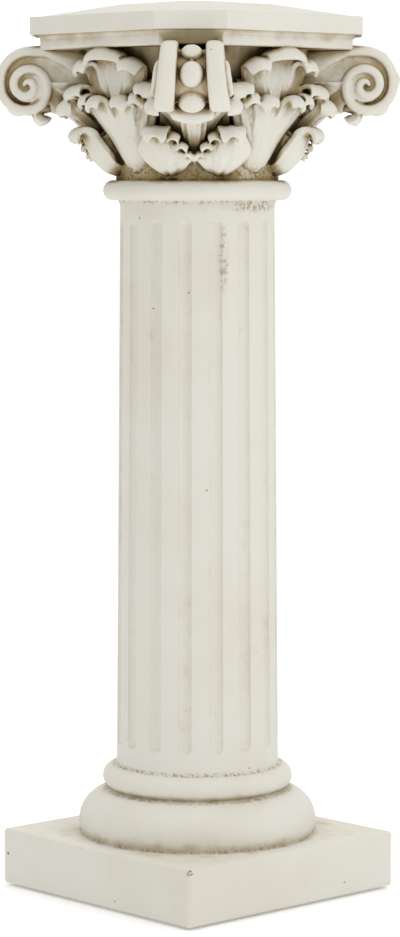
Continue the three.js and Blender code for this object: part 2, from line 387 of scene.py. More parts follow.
@dataclass
class Plinth:
    """The square block at the foot, with soft edges."""

    half_side: float = 0.1417
    height: float = 0.0593
    edge_radius: float = 0.0036
    edge_steps: int = 4
    foot_height: float = 0.0024
    foot_inset: float = 0.0100

    @staticmethod
    def block(name: str, half_side: float, low: float, high: float) -> bpy.types.Object:
        """Adds a square block.

        Args:
            name: The new object's name.
            half_side: Distance of its sides from the axis.
            low: Height of its underside.
            high: Height of its top.

        Returns:
            The closed block.
        """
        piece = Bench.add(name, bpy.ops.mesh.primitive_cube_add, size=1, location=(0, 0, 0))
        size = (2 * half_side, 2 * half_side, high - low)
        Bench.place_points(piece, Bench.points(piece) * size + (0, 0, (low + high) / 2))
        return piece

    def build(self) -> bpy.types.Object:
        """Builds the plinth on its slightly smaller foot, which leaves a thin shadow line over the floor.

        Returns:
            The closed plinth, standing on the floor.
        """
        piece = self.block("plinth_block", self.half_side, self.foot_height, self.height)
        Bench.apply(piece, "BEVEL", width=self.edge_radius, segments=self.edge_steps, limit_method="NONE")
        foot = self.block("plinth_foot", self.half_side - self.foot_inset, 0, 2 * self.foot_height)
        Bench.unite(piece, foot)
        return piece


@dataclass
class TurnedColumn:
    """Base rolls, fluted shaft and collar, turned from one profile."""

    plinth_top: float = 0.0593
    lower_roll_top: float = 0.105
    upper_roll_top: float = 0.130
    shaft_top: float = 0.7045
    collar_top: float = 0.7247
    lower_roll_radius: float = 0.1213
    lower_roll_inner_radius: float = 0.088
    lower_roll_foot_radius: float = 0.1203
    lower_roll_widest: float = 0.072
    lower_roll_arc: tuple[float, float, int] = (-18, 76, 14)
    upper_roll_radius: float = 0.0968
    upper_roll_arc: tuple[float, float, int] = (-62, 84, 12)
    shaft_bottom_radius: float = 0.0826
    shaft_top_radius: float = 0.0780
    shaft_flare: float = 0.002
    shaft_flare_height: float = 0.0025
    shaft_flare_rows: tuple[float, ...] = (0.0, 0.0015, 0.004, 0.009)
    collar_radius: float = 0.0952
    collar_arc: tuple[float, float, int] = (-88, 90, 12)
    cap_radius: float = 0.078
    sunk: float = 0.004
    flutes: int = 16
    first_flute: float = 15.75
    flute_bottom: float = 0.152
    flute_top: float = 0.6847
    flute_width: float = 0.0138
    flute_depth: float = 0.0042
    flute_columns: int = 8
    fillet_columns: int = 4
    flute_margin: float = 0.002
    flute_end_share: float = 0.6
    flute_rows: int = 9

    def profile(self) -> list[tuple[float, float]]:
        """Works out the turned profile.

        Returns:
            Points as (radius, height), from the axis back to the axis.
        """
        roll_width = self.lower_roll_radius - self.lower_roll_inner_radius
        roll_height = self.lower_roll_top - self.lower_roll_widest
        upper_half = (self.upper_roll_top - self.lower_roll_top) / 2
        collar_half = (self.collar_top - self.shaft_top) / 2
        foot = self.plinth_top - self.sunk
        lower_centre = (self.lower_roll_inner_radius, self.lower_roll_widest)
        upper_centre = (self.upper_roll_radius - upper_half, self.lower_roll_top + upper_half)
        collar_centre = (self.collar_radius - collar_half, self.shaft_top + collar_half)
        return [
            (0.0, foot),
            (self.lower_roll_foot_radius, foot),
            *arc(lower_centre, (roll_width, roll_height), self.lower_roll_arc),
            *arc(upper_centre, (upper_half, upper_half), self.upper_roll_arc),
            *self.shaft_rows(),
            *arc(collar_centre, (collar_half, collar_half), self.collar_arc),
            (self.cap_radius, self.collar_top),
            (0.0, self.collar_top),
        ]

    def shaft_rows(self) -> list[tuple[float, float]]:
        """Rows of the plain shaft, close together where the flutes end.

        Returns:
            Points as (radius, height).
        """
        reach = self.flute_end_share * self.flute_width
        low, high = self.flute_bottom, self.flute_top
        heights = [
            *(self.upper_roll_top + step for step in self.shaft_flare_rows),
            *np.linspace(low - self.flute_margin, low + reach, self.flute_rows),
            *np.linspace(low + 2 * reach, high - 2 * reach, self.flute_rows),
            *np.linspace(high - reach, high + self.flute_margin, self.flute_rows),
            *(self.shaft_top - step for step in reversed(self.shaft_flare_rows)),
        ]
        return [(self.shaft_radius(float(height)), float(height)) for height in heights]

    def shaft_radius(self, height: float) -> float:
        """Radius of the plain shaft, which tapers upwards and flares a little at both ends.

        Args:
            height: Height above the floor.

        Returns:
            The radius.
        """
        share = (height - self.upper_roll_top) / (self.shaft_top - self.upper_roll_top)
        ends = (height - self.upper_roll_top, self.shaft_top - height)
        flare = self.shaft_flare * sum(math.exp(-end / self.shaft_flare_height) for end in ends)
        return self.shaft_bottom_radius + share * (self.shaft_top_radius - self.shaft_bottom_radius) + flare

    def columns(self) -> np.ndarray:
        """Angles of the mesh's upright lines: close together in the flutes, wider on the fillets.

        Returns:
            One angle in radians for each step of the full turn.
        """
        half = self.flute_width / (self.shaft_bottom_radius + self.shaft_top_radius)
        pitch = math.tau / self.flutes
        inside = half * np.sin(np.linspace(-math.pi / 2, math.pi / 2, self.flute_columns + 1))
        outside = np.linspace(half, pitch - half, self.fillet_columns + 1)[1:-1]
        one = np.concatenate([inside, outside])
        first = math.radians(self.first_flute)
        return np.concatenate([first + index * pitch + one for index in range(self.flutes)])

    def flute_sink(self, radius: np.ndarray, angle: np.ndarray, height: np.ndarray) -> np.ndarray:
        """How far the shaft is hollowed at a place.

        Args:
            radius: Distance from the axis.
            angle: Angle round the axis in radians.
            height: Height above the floor.

        Returns:
            The depth of the flute there, 0 on the fillets and on the axis.
        """
        pitch = math.tau / self.flutes
        from_middle = (angle - math.radians(self.first_flute) + pitch / 2) % pitch - pitch / 2
        half = self.flute_width / 2
        across = from_middle * (self.shaft_bottom_radius + self.shaft_top_radius) / 2 / half
        past_low = np.maximum(self.flute_bottom + half - height, 0)
        past_high = np.maximum(height - self.flute_top + half, 0)
        along = np.maximum(past_low, past_high) / half
        hollow = np.sqrt(np.clip(1 - across ** 2 - along ** 2, 0, 1))
        return np.where(radius > self.flute_depth, self.flute_depth * hollow, 0)

    def build(self) -> bpy.types.Object:
        """Spins the profile and sinks the flutes into the shaft.

        Returns:
            The closed column.
        """
        steps = self.flutes * (self.flute_columns + self.fillet_columns)
        piece = Bench.turned("turned_column", self.profile(), steps)
        out, side, up = Bench.points(piece).T
        radius = np.hypot(out, side)
        index = np.round(np.arctan2(side, out) / math.tau * steps).astype(int) % steps
        angle = self.columns()[index]
        radius = radius - self.flute_sink(radius, angle, up)
        Bench.place_points(piece, np.stack([radius * np.cos(angle), radius * np.sin(angle), up], axis=1))
        return piece


@dataclass
class TopSlab:
    """Eight-sided slab over a narrower fascia, with a low hipped crown that is flat in the middle."""

    half_side: float = 0.1422
    corner_distance: float = 0.1658
    fascia_inset: float = 0.010
    cove: float = 0.003
    fascia_bottom: float = 0.8547
    fascia_ease: tuple[float, float, float] = (0.002, -0.0005, 0.001)
    slab_bottom: float = 0.8689
    slab_top: float = 0.8867
    crown_top: float = 0.900
    crown_scale: float = 0.4545
    lip: float = 0.003
    lip_step: tuple[float, float] = (0.001, 0.0006)
    edge_radius: float = 0.0029
    edge_steps: int = 3
    edge_angle: float = 40.0

    def build(self) -> bpy.types.Object:
        """Builds the slab.

        Returns:
            The closed slab with its fascia and crown.
        """
        ease_inset, ease_low, ease_high = self.fascia_ease
        levels = (
            (self.fascia_inset + ease_inset, self.fascia_bottom + ease_low),
            (self.fascia_inset, self.fascia_bottom + ease_high),
            (self.fascia_inset, self.slab_bottom - self.cove),
            (self.fascia_inset - self.cove, self.slab_bottom),
            (0, self.slab_bottom),
            (0, self.slab_top),
            (self.lip, self.slab_top),
            (self.lip + self.lip_step[0], self.slab_top - self.lip_step[1]),
        )
        rings = [cut_square(self.half_side - inset, self.corner_distance - inset, height)
                 for inset, height in levels]
        flat = self.crown_scale
        rings.append(cut_square(self.half_side * flat, self.corner_distance * flat, self.crown_top))
        piece = Bench.stack("top_slab", rings)
        Bench.apply(piece, "BEVEL", width=self.edge_radius, segments=self.edge_steps,
                    limit_method="ANGLE", angle_limit=math.radians(self.edge_angle), use_clamp_overlap=True)
        return piece


@dataclass
class CornerScroll:
    """One corner scroll: a body back to the bell, two straps wound into spirals, and beads between them."""

    centre_radius: float = 0.169
    centre_height: float = 0.8184
    start_radius: float = 0.0355
    top_stretch: float = 0.0040
    pitch: float = 0.0136
    band: float = 0.0112
    turns: float = 2.3
    steps_per_turn: int = 56
    eye_radius: float = 0.0004
    tail: tuple[tuple[float, float], ...] = (
        (0.104, 0.824), (0.118, 0.825), (0.135, 0.838), (0.152, 0.8465))
    tail_top: float = 0.8592
    channel_depth: float = 0.009
    core_inner_radius: float = 0.080
    core_foot: float = 0.774
    core_recess: float = 0.0030
    core_end: int = 285
    core_step: int = 15
    crown: float = 0.0018
    coil_lift: float = 0.005
    coil_lift_span: tuple[float, float] = (200, 420)
    inner_edge: tuple[float, float] = (0.0130, 0.0170)
    outer_edge: tuple[float, float] = (0.0280, 0.0360)
    even_spread: float = 0.4
    web: tuple[tuple[float, float], ...] = (
        (0.080, 0.768), (0.110, 0.781), (0.122, 0.7895), (0.146, 0.7915), (0.152, 0.822), (0.080, 0.822))
    web_half_widths: tuple[float, ...] = (0.012, 0.015, 0.017, 0.019, 0.031, 0.034)
    boss_radius: float = 0.0165
    boss_sink: float = 0.0030
    boss_points: int = 24
    section_points: int = 28
    squareness: float = 3.3
    beads: tuple[tuple[float, float, float, float], ...] = (
        (30, 0.0104, 0.0080, 0.0062),
        (74, 0.0122, 0.0128, 0.0100),
        (146, 0.0140, 0.0120, 0.0085),
    )
    bead_segments: int = 24
    bead_rings: int = 14

    def point(self, angle: float, sink: float) -> np.ndarray:
        """A point of the spiral, sunk under its outer face.

        Args:
            angle: Degrees from the top, turning outwards.
            sink: Distance under the outer face.

        Returns:
            The point as (out, up).
        """
        turn = math.radians(angle)
        stretch = self.top_stretch * math.cos(turn) ** 2 if angle < QUARTER else 0
        radius = self.start_radius - self.pitch * angle / 360 + stretch
        distance = max(radius - sink, self.eye_radius)
        return np.array([self.centre_radius + distance * math.sin(turn),
                         self.centre_height + distance * math.cos(turn)])

    def spread(self, edge: tuple[float, float], height: np.ndarray) -> np.ndarray:
        """Sideways place of a strap's edge, which stands further out towards the scroll's foot.

        Args:
            edge: Its places at the top and at the foot.
            height: Heights to work it out for.

        Returns:
            One sideways place for each height.
        """
        top = self.centre_height + self.start_radius + self.top_stretch
        foot = self.centre_height - self.start_radius + self.pitch / 2
        share = (top - height) / (top - foot)
        share = self.even_spread * share + (1 - self.even_spread) * share ** 2
        return edge[0] + (edge[1] - edge[0]) * share

    def strap(self) -> bpy.types.Object:
        """Sweeps a strap with soft edges and a slightly crowned side along the tail and the spiral.

        Returns:
            The closed strap of one side.
        """
        spans = [(np.array([out, self.tail_top]), np.array([out, up]), 0.0) for out, up in self.tail]
        for step in range(int(self.turns * self.steps_per_turn) + 1):
            angle = step * 360 / self.steps_per_turn
            lift = self.coil_lift * float(smooth_step(*self.coil_lift_span, angle))
            spans.append((self.point(angle, 0), self.point(angle, self.band), lift))
        turn = np.linspace(0, math.tau, self.section_points + 1)
        along, across = (0.5 + 0.5 * np.sign(wave) * np.abs(wave) ** (2 / self.squareness)
                         for wave in (np.cos(turn), np.sin(turn)))
        rows = []
        for outer, inner, lift in spans:
            place = inner + (outer - inner) * along[:, None]
            near = self.spread(self.inner_edge, place[:, 1])
            far = self.spread(self.outer_edge, place[:, 1])
            side = near + (far - near) * across
            side += self.crown * np.where(across > 0.5, 1 - (2 * along - 1) ** 2, 0) + lift * across
            rows.append(np.stack([place[:, 0], side, place[:, 1]], axis=1))
        return Bench.tube("scroll_strap", np.array(rows))

    def core(self) -> bpy.types.Object:
        """Builds the body between the straps.

        Returns:
            The closed body.
        """
        angles = range(self.core_end, -1, -self.core_step)
        outline = [self.point(angle, self.channel_depth) for angle in angles]
        for height in (self.centre_height + self.start_radius, self.core_foot):
            outline.append(np.array([self.core_inner_radius, height]))
        points = np.array(outline)
        half_width = self.spread(self.outer_edge, points[:, 1]) - self.core_recess
        return Bench.plate("scroll_core", points, half_width)

    def backing(self) -> bpy.types.Object:
        """Builds the stone left under the scroll, behind its leaf."""
        return Bench.plate("scroll_web", np.array(self.web), np.array(self.web_half_widths))

    def boss(self) -> bpy.types.Object:
        """Builds the disc behind the innermost turns, which keeps their groove shallow.

        Returns:
            The closed disc.
        """
        turn = np.linspace(0, math.tau, self.boss_points, endpoint=False)
        outline = np.stack([self.centre_radius + self.boss_radius * np.cos(turn),
                            self.centre_height + self.boss_radius * np.sin(turn)], axis=1)
        half_width = self.spread(self.outer_edge, outline[:, 1]) + self.coil_lift - self.boss_sink
        return Bench.plate("scroll_boss", outline, half_width)

    def bead(self, angle: float, half_width: float, half_height: float, sink: float) -> bpy.types.Object:
        """Adds one bead.

        Args:
            angle: Place round the scroll in degrees.
            half_width: Half its width sideways.
            half_height: Half its height.
            sink: Depth of its middle under the straps' outer face.

        Returns:
            The closed bead.
        """
        out, up = self.point(angle, sink)
        piece = Bench.add("scroll_bead", bpy.ops.mesh.primitive_uv_sphere_add,
                          segments=self.bead_segments, ring_count=self.bead_rings, radius=1)
        size = (half_height, half_width, half_height)
        Bench.place_points(piece, Bench.points(piece) * size + (out, 0, up))
        return piece

    def build(self) -> bpy.types.Object:
        """Builds the scroll on the line of X.

        Returns:
            Its overlapping closed solids, joined into one object.
        """
        strap = self.strap()
        beads = [self.bead(*sizes) for sizes in self.beads]
        sides = [strap, Bench.turned_copy(strap, 0, mirrored=True)]
        return Bench.join("corner_scroll", [self.core(), self.backing(), self.boss(), *sides, *beads])


@dataclass(frozen=True)
class Frond:
    """One blade of a leaf: a ridge along a spine that opens into a gutter and rolls over at the tip.

    The spine runs through points (out from the axis, sideways, up). The widths are half widths at the root,
    the belly and the tip. The facing is the way the front of the blade looks.
    """

    spine: tuple[tuple[float, float, float], ...]
    widths: tuple[float, float, float]
    curl_radius: float
    curl_angle: float
    facing: tuple[float, float, float] = (1, 0, 0)
    arch: float = 0.002
    gutter: float = 0.002
    vein: float = 0.0010
    ribs: int = 0
    rib_height: float = 0.0
    lobes: float = 0.0
    lobe_depth: float = 0.0
    thickness: float = 0.005
    hood: float = 0.0
    taper: float = 0.7
    paired: bool = False

    STEM_ROWS = 24
    CURL_ROWS = 14
    COLUMNS = 25
    BELLY_PLACE = 0.4
    NARROWING = (0.35, 0.80)
    OPENING = (0.30, 0.65)
    LEVEL_SHARE = 0.35
    VEIN_WIDTH = 0.12
    RIB_GROWTH = 3

    def rows(self, flip: int) -> np.ndarray:
        """Works out the front of the blade.

        Args:
            flip: 1, or -1 for the blade on the leaf's other side.

        Returns:
            Points as rows by columns by three.
        """
        side_flip = np.array([1, flip, 1])
        centres, alongs = spline(np.array(self.spine) * side_flip, self.STEM_ROWS)
        hint = np.array(self.facing, float) * side_flip
        fronts = [unit(hint - along * hint.dot(along)) for along in alongs]
        stations = list(zip(centres, alongs, fronts))
        end, along, front = stations[-1]
        for step in range(1, self.CURL_ROWS + 1):
            turn = math.radians(self.curl_angle) * step / self.CURL_ROWS
            sine, cosine = math.sin(turn), math.cos(turn)
            place = end + self.curl_radius * (sine * along + (1 - cosine) * front)
            stations.append((place, cosine * along + sine * front, cosine * front - sine * along))
        rows = []
        for index, (centre, along, front) in enumerate(stations):
            share = index / (len(stations) - 1)
            curl = max(0.0, (index - self.STEM_ROWS + 1) / self.CURL_ROWS)
            rows.append(self.section(centre, np.cross(along, front), front, share, curl))
        return np.array(rows)

    def section(self, centre: np.ndarray, side: np.ndarray, front: np.ndarray,
                share: float, curl: float) -> np.ndarray:
        """One row of the blade.

        Args:
            centre: The spine's point.
            side: The way across the blade.
            front: The way the blade faces here.
            share: Share of the blade's length.
            curl: Share of the curl, 0 on the stem.

        Returns:
            One point for each column.
        """
        across = np.linspace(-1, 1, self.COLUMNS)
        flat = 1 - curl
        root, belly, tip = self.widths
        width = root + (belly - root) * math.sin(math.pi / 2 * min(share / self.BELLY_PLACE, 1.0))
        width += (tip - belly) * float(smooth_step(*self.NARROWING, share))
        width *= math.sqrt(1 - self.taper * curl ** 4)
        scallop = 2 - abs(math.sin(math.pi * self.lobes * share))
        widths = np.where(across > 0, width * (1 - self.lobe_depth * scallop * flat), width)
        opened = float(smooth_step(*self.OPENING, share))
        cup = self.gutter * opened - self.arch * (1 - opened)
        bend = (cup * flat + self.hood * math.sqrt(curl)) * (across ** 2 - self.LEVEL_SHARE)
        groove = self.vein * np.exp(-(across / self.VEIN_WIDTH) ** 2) * flat
        growth = min(1.0, self.RIB_GROWTH * share) * flat
        ripple = self.rib_height * np.cos(math.tau * self.ribs * across) * growth
        return centre + side * (across * widths)[:, None] + front * (bend - groove + ripple)[:, None]

    def build(self) -> list[bpy.types.Object]:
        """Builds the blade, and its twin where it is paired.

        Returns:
            The closed blades.
        """
        blades = []
        for flip in (1, -1) if self.paired else (1,):
            blade = Bench.sheet("frond", self.rows(flip))
            Bench.apply(blade, "SOLIDIFY", thickness=self.thickness, offset=-1,
                        use_even_offset=False, use_quality_normals=True)
            blades.append(blade)
        return blades


class Leaf(Enum):
    """The three kinds of leaf on the bell, as sets of fronds in the leaf's own upright plane."""

    FACE = (
        Frond(
            spine=((0.083, 0, 0.735), (0.096, 0, 0.758), (0.108, 0, 0.790),
                   (0.112, 0, 0.820), (0.113, 0, 0.839)),
            widths=(0.005, 0.012, 0.0245), curl_radius=0.0102, curl_angle=165, arch=0.003, gutter=0.004,
            vein=0.0015, ribs=2, rib_height=0.0008, hood=0.009, taper=0.2),
        Frond(
            spine=((0.085, 0.005, 0.742), (0.099, 0.013, 0.774), (0.109, 0.025, 0.808),
                   (0.113, 0.031, 0.832)),
            widths=(0.005, 0.0100, 0.0120), curl_radius=0.0075, curl_angle=165, facing=(1, 0.30, 0),
            gutter=0.003, hood=0.005, paired=True),
        Frond(
            spine=((0.084, 0.009, 0.737), (0.095, 0.022, 0.766), (0.104, 0.037, 0.795),
                   (0.107, 0.045, 0.809)),
            widths=(0.005, 0.0115, 0.0115), curl_radius=0.0065, curl_angle=160, facing=(1, 0.45, 0),
            gutter=0.003, hood=0.005, paired=True),
        Frond(
            spine=((0.085, 0.008, 0.738), (0.097, 0.019, 0.766), (0.106, 0.031, 0.790),
                   (0.109, 0.036, 0.801)),
            widths=(0.005, 0.0085, 0.0085), curl_radius=0.005, curl_angle=165, facing=(1, 0.4, 0),
            hood=0.003, paired=True),
        Frond(
            spine=((0.087, 0.005, 0.742), (0.101, 0.010, 0.770), (0.110, 0.015, 0.788),
                   (0.114, 0.018, 0.798)),
            widths=(0.005, 0.0100, 0.0100), curl_radius=0.0055, curl_angle=160, facing=(1, 0.1, 0),
            gutter=0.003, hood=0.004, paired=True),
        Frond(
            spine=((0.082, 0, 0.733), (0.093, 0, 0.757), (0.1035, 0, 0.787), (0.108, 0, 0.815)),
            widths=(0.012, 0.033, 0.047), curl_radius=0.02, curl_angle=10, arch=0.007, gutter=-0.008, vein=0,
            thickness=0.008),
    )
    LOW = (
        Frond(
            spine=((0.083, 0, 0.7315), (0.095, 0, 0.737), (0.107, 0, 0.750), (0.116, 0, 0.768)),
            widths=(0.017, 0.0270, 0.0125), curl_radius=0.0055, curl_angle=150, facing=(1, 0, -0.5),
            arch=0.011, gutter=-0.008, vein=0.0024, ribs=4, rib_height=0.0006, lobes=4.5, lobe_depth=0.15,
            thickness=0.006, hood=0.006, taper=0.85),
        Frond(
            spine=((0.080, 0, 0.731), (0.090, 0, 0.739), (0.098, 0, 0.751), (0.103, 0, 0.766)),
            widths=(0.012, 0.019, 0.013), curl_radius=0.02, curl_angle=5, vein=0, thickness=0.010),
        Frond(
            spine=((0.087, 0.003, 0.737), (0.101, 0.007, 0.750), (0.108, 0.010, 0.760),
                   (0.111, 0.0115, 0.765)),
            widths=(0.005, 0.007, 0.0050), curl_radius=0.0035, curl_angle=140, facing=(1, 0.5, -0.4),
            hood=0.002),
        Frond(
            spine=((0.086, 0.005, 0.734), (0.098, 0.013, 0.744), (0.104, 0.0165, 0.751),
                   (0.106, 0.018, 0.755)),
            widths=(0.005, 0.0065, 0.0048), curl_radius=0.0032, curl_angle=130, facing=(1, 0.6, -0.3),
            hood=0.002),
        Frond(
            spine=((0.085, 0.007, 0.732), (0.094, 0.016, 0.738), (0.099, 0.021, 0.743),
                   (0.100, 0.023, 0.746)),
            widths=(0.004, 0.006, 0.0045), curl_radius=0.003, curl_angle=120, facing=(1, 0.7, -0.2),
            hood=0.002),
    )
    CORNER = (
        Frond(
            spine=((0.083, 0, 0.741), (0.106, 0, 0.764), (0.126, 0, 0.786), (0.143, 0, 0.7945),
                   (0.1555, 0, 0.7925)),
            widths=(0.003, 0.013, 0.0190), curl_radius=0.0030, curl_angle=150, facing=(1, 0, -1),
            arch=0.003, gutter=-0.002, ribs=2, rib_height=0.0012, thickness=0.0072, hood=0.006, taper=0.5),
        Frond(
            spine=((0.095, 0.012, 0.768), (0.106, 0.024, 0.790), (0.115, 0.033, 0.804),
                   (0.118, 0.036, 0.810)),
            widths=(0.006, 0.010, 0.0095), curl_radius=0.0050, curl_angle=165, facing=(0.6, 1, -0.2),
            hood=0.004, paired=True),
        Frond(
            spine=((0.097, 0.010, 0.765), (0.111, 0.021, 0.782), (0.122, 0.030, 0.792),
                   (0.127, 0.034, 0.797)),
            widths=(0.006, 0.009, 0.0090), curl_radius=0.0045, curl_angle=165, facing=(0.6, 0.8, -0.5),
            hood=0.004, paired=True),
    )

    def build(self) -> bpy.types.Object:
        """Builds the leaf's closed fronds on the line of X, joined into one object."""
        blades = [blade for frond in self.value for blade in frond.build()]
        return Bench.join(f"{self.name.lower()}_leaf", blades)


@dataclass
class Capital:
    """Neck, bell, leaves and scrolls, fused into one soft-edged carving."""

    scroll: CornerScroll = field(default_factory=CornerScroll)
    neck_foot: float = 0.715
    neck_radius: float = 0.082
    neck_top: float = 0.733
    bell: tuple[tuple[float, float], ...] = ((0.083, 0.745), (0.088, 0.775), (0.096, 0.805), (0.116, 0.858))
    bell_steps: int = 96
    low_leaf_offset: float = 17.3
    turn: float = 0.6
    voxel: float = 0.0010
    smoothing: float = 0.5
    smoothing_rounds: int = 3
    triangles: int = 150_000

    def blank(self) -> bpy.types.Object:
        """Turns the neck and the bell behind the leaves.

        Returns:
            The closed bell.
        """
        foot = [(0.0, self.neck_foot), (self.neck_radius, self.neck_foot)]
        profile = [*foot, (self.neck_radius, self.neck_top), *self.bell, (0.0, self.bell[-1][1])]
        return Bench.turned("bell", profile, self.bell_steps)

    def build(self) -> bpy.types.Object:
        """Builds every form of the capital and fuses them.

        Returns:
            The closed carving.
        """
        scroll = self.scroll.build()
        leaves = {kind: kind.build() for kind in Leaf}
        parts = [self.blank()]
        for corner in range(CORNERS):
            angle = CORNER_ANGLE + corner * QUARTER + self.turn
            parts.append(Bench.turned_copy(scroll, angle))
            parts.append(Bench.turned_copy(leaves[Leaf.CORNER], angle))
            parts.append(Bench.turned_copy(leaves[Leaf.FACE], angle + CORNER_ANGLE))
            for side in (-1, 1):
                place = angle + side * self.low_leaf_offset
                parts.append(Bench.turned_copy(leaves[Leaf.LOW], place, mirrored=side > 0))
        for pattern in (scroll, *leaves.values()):
            bpy.data.objects.remove(pattern)
        capital = Bench.join("capital_carving", parts)
        Bench.apply(capital, "REMESH", mode="VOXEL", voxel_size=self.voxel, adaptivity=0)
        Bench.apply(capital, "SMOOTH", factor=self.smoothing, iterations=self.smoothing_rounds)
        share = self.triangles / (2 * len(capital.data.polygons))
        LOG.info("capital fused: %d faces", len(capital.data.polygons))
        Bench.apply(capital, "DECIMATE", ratio=min(1.0, share))
        return capital


@dataclass
class OcclusionShadeAndDirt:
    """How hemmed in each point of the skin is, as ray-cast occlusion. Where it is high the finish paints
    shade as well as grime, and edges are clean.

    Short rays find the recesses, and the skin's own curve finds the grooves and the edges.
    """

    attribute: str = "shade_and_dirt"
    rays: int = 28
    reach: float = 0.024
    lift: float = 0.0004
    far_weight: float = 0.5
    carving_foot: float = 0.715
    plain_share: float = 0.5
    groove_radius: float = 0.003
    groove_share: float = 0.16
    groove_rounds: int = 3
    least_square: float = 1e-9

    def directions(self) -> np.ndarray:
        """Evenly spread directions over the half ball above a surface.

        Returns:
            One unit vector for each ray, Z being the surface's normal.
        """
        index = np.arange(self.rays) + 0.5
        height = np.sqrt(1 - index / self.rays)
        turn = math.pi * (1 + math.sqrt(5)) * index
        flat = np.sqrt(1 - height ** 2)
        return np.stack([flat * np.cos(turn), flat * np.sin(turn), height], axis=1)

    def grooves(self, mesh: bpy.types.Mesh) -> np.ndarray:
        """Measures how hollow the skin is at each vertex.

        Args:
            mesh: The finished skin's mesh.

        Returns:
            One number for each vertex: 1 in a groove of the set radius, and below 0 on an edge.
        """
        count = len(mesh.vertices)
        points, normals = np.zeros((2, count * 3))
        mesh.vertices.foreach_get("co", points)
        mesh.vertices.foreach_get("normal", normals)
        points, normals = points.reshape(-1, 3), normals.reshape(-1, 3)
        ends = np.zeros(len(mesh.edges) * 2, np.int32)
        mesh.edges.foreach_get("vertices", ends)
        start, end = np.concatenate([ends.reshape(-1, 2), ends.reshape(-1, 2)[:, ::-1]]).T
        neighbours = np.maximum(np.bincount(start, minlength=count), 1)
        steps = points[end] - points[start]
        squares = np.maximum((steps ** 2).sum(axis=1), self.least_square)
        rise = 2 * np.einsum("ij,ij->i", steps, normals[start]) / squares
        hollow = np.clip(np.bincount(start, rise, count) / neighbours * self.groove_radius, -1, 1)
        for _ in range(self.groove_rounds):
            hollow = (hollow + np.bincount(start, hollow[end], count) / neighbours) / 2
        return np.where(points[:, 2] > self.carving_foot, hollow, 0)

    def measure(self, piece: bpy.types.Object) -> None:
        """Writes the attribute on a piece's vertices: the occlusion that the finish paints as shade and
        grime.

        Args:
            piece: The finished skin.
        """
        mesh = piece.data
        tree = BVHTree.FromPolygons([vertex.co for vertex in mesh.vertices],
                                    [face.vertices for face in mesh.polygons])
        fan = self.directions()
        fading = (1 - self.far_weight) / self.reach
        values = np.zeros(len(mesh.vertices), np.float32)
        for vertex in mesh.vertices:
            turned = vertex.normal.to_track_quat("Z", "Y").to_matrix()
            start = vertex.co + vertex.normal * self.lift
            hits = (tree.ray_cast(start, way, self.reach)[3] for way in fan @ np.array(turned).T)
            closed = sum(1 - fading * distance for distance in hits if distance is not None)
            # Half weight on the plain turned part, where the occlusion paints shade into the flutes and the
            # creases of the rolls.
            share = 1.0 if vertex.co.z > self.carving_foot else self.plain_share
            values[vertex.index] = share * closed / self.rays
        values += self.groove_share * self.grooves(mesh)
        layer = mesh.attributes.new(self.attribute, "FLOAT", "POINT")
        layer.data.foreach_set("value", values)


@dataclass
class Pedestal:
    """The whole casting: plinth, column, capital and slab as one closed skin."""

    plinth: Plinth = field(default_factory=Plinth)
    column: TurnedColumn = field(default_factory=TurnedColumn)
    capital: Capital = field(default_factory=Capital)
    slab: TopSlab = field(default_factory=TopSlab)
    shade_and_dirt: OcclusionShadeAndDirt = field(default_factory=OcclusionShadeAndDirt)
    sharp_angle: float = 32.0

    def build(self) -> bpy.types.Object:
        """Builds the parts, unites them and measures the occlusion that the finish paints as shade and
        grime.

        Returns:
            The finished skin, which stands for the CAD's pedestal.
        """
        skin = self.column.build()
        for part in (self.plinth.build(), self.slab.build(), self.capital.build()):
            LOG.info("uniting %s: %d faces", part.name, len(part.data.polygons))
            Bench.unite(skin, part)
        skin.name = "pedestal_cast"
        skin.data.name = skin.name
        Bench.pick(skin)
        bpy.ops.object.shade_smooth_by_angle(angle=math.radians(self.sharp_angle))
        Bench.apply(skin, "WEIGHTED_NORMAL", mode="FACE_AREA", keep_sharp=True)
        self.shade_and_dirt.measure(skin)
        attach(skin, "root")
        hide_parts("pedestal")
        return skin


@dataclass(frozen=True)
class Noise:
    """Soft noise: its lumps in each metre, its octaves and the strength of the finer ones."""

    scale: float
    detail: float
    roughness: float


